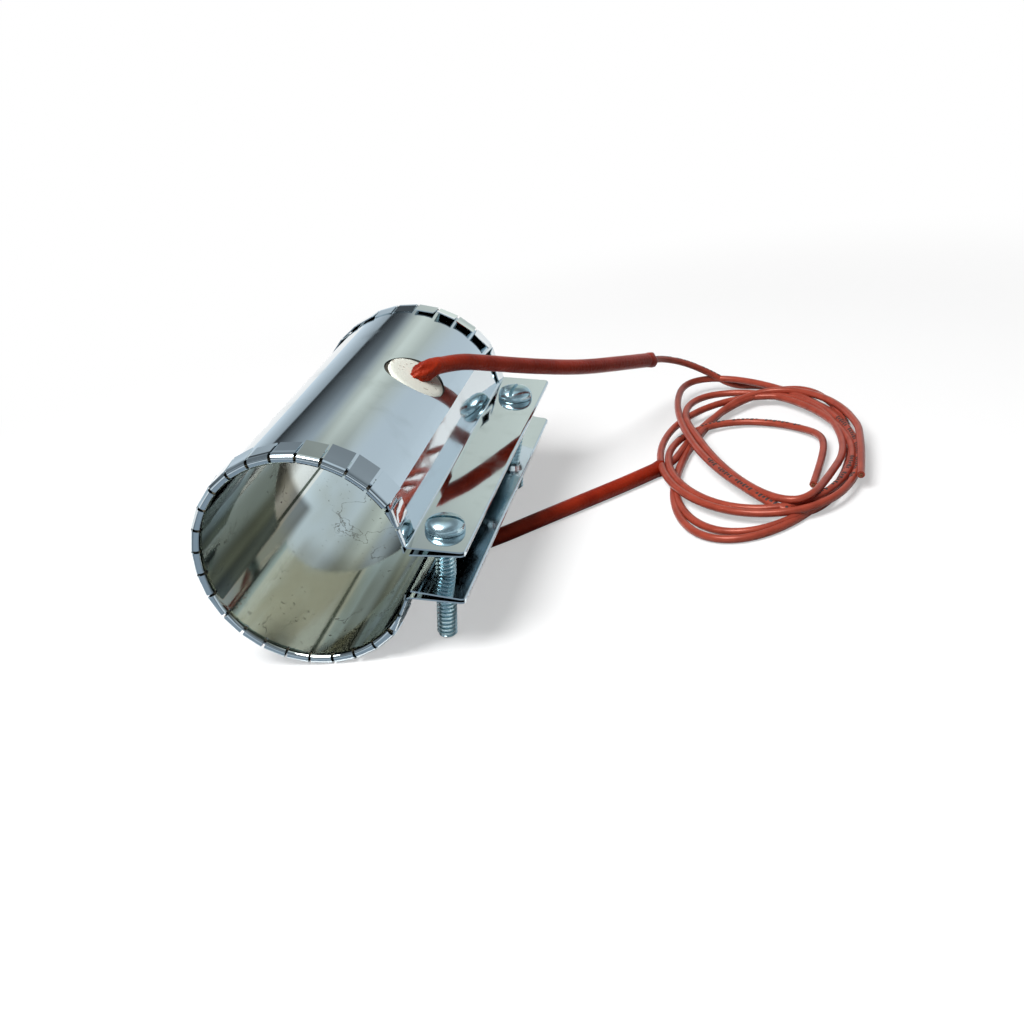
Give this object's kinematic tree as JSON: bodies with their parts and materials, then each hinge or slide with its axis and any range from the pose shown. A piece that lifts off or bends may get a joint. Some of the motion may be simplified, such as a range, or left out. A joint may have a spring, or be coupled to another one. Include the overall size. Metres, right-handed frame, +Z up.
{
  "type": "mica band heater",
  "caption": "C-shaped mica band heater in polished stainless sheet, closed by clamp screws through folded ears, with braided sleeves and coiled silicone leads.",
  "frame": {"origin": "on the bore's axis, at the band's near end", "axes": "+Y runs along the bore from the near end, +Z is up as the heater lies on a bench, and the ears and clamp screws are on the +X side"},
  "size_m": [0.1561, 0.163, 0.0552],
  "materials": {
    "polished_stainless": "mirror-polished thin sheet with faint drawn streaks",
    "mica_board": "matt mica board, hidden between the sheaths",
    "resistance_alloy": "flat resistance ribbon, hidden between the sheaths",
    "zinc_plated_steel": "bright blue-white zinc plate",
    "terminal_metal": "plain pressed metal, hidden under the bushes",
    "ceramic_fibre": "matt off-white, rough and speckled in places",
    "braided_sleeving": "fine glass-yarn braid, silicone coated, satin",
    "silicone_rubber": "smooth satin silicone insulation"
  },
  "bodies": {
    "band": {"inner_sheath": "polished_stainless", "outer_sheath": "polished_stainless", "inner_mica": "mica_board", "element_former": "mica_board", "outer_mica": "mica_board", "resistance_ribbon": "resistance_alloy", "upper_terminal": "terminal_metal", "lower_terminal": "terminal_metal", "upper_crimp": "terminal_metal", "lower_crimp": "terminal_metal", "upper_bush": "ceramic_fibre", "lower_bush": "ceramic_fibre", "upper_root": "braided_sleeving", "lower_root": "braided_sleeving", "upper_sleeve": "braided_sleeving", "lower_sleeve": "braided_sleeving", "upper_lead": "silicone_rubber", "lower_lead": "silicone_rubber", "lead_coil": "silicone_rubber"},
    "near_clamp_screw": {"near_screw": "zinc_plated_steel"},
    "far_clamp_screw": {"far_screw": "zinc_plated_steel"}
  },
  "joints": [
    {"name": "near_screw_turn", "type": "hinge", "parent": "band", "child": "near_clamp_screw", "pos_m": [0.0323, 0.011, 0.00051], "axis": [0.192, 0, 0.9814], "continuous": true},
    {"name": "far_screw_turn", "type": "hinge", "parent": "band", "child": "far_clamp_screw", "pos_m": [0.0323, 0.0945, 0.00051], "axis": [0.192, 0, 0.9814], "continuous": true}
  ]
}
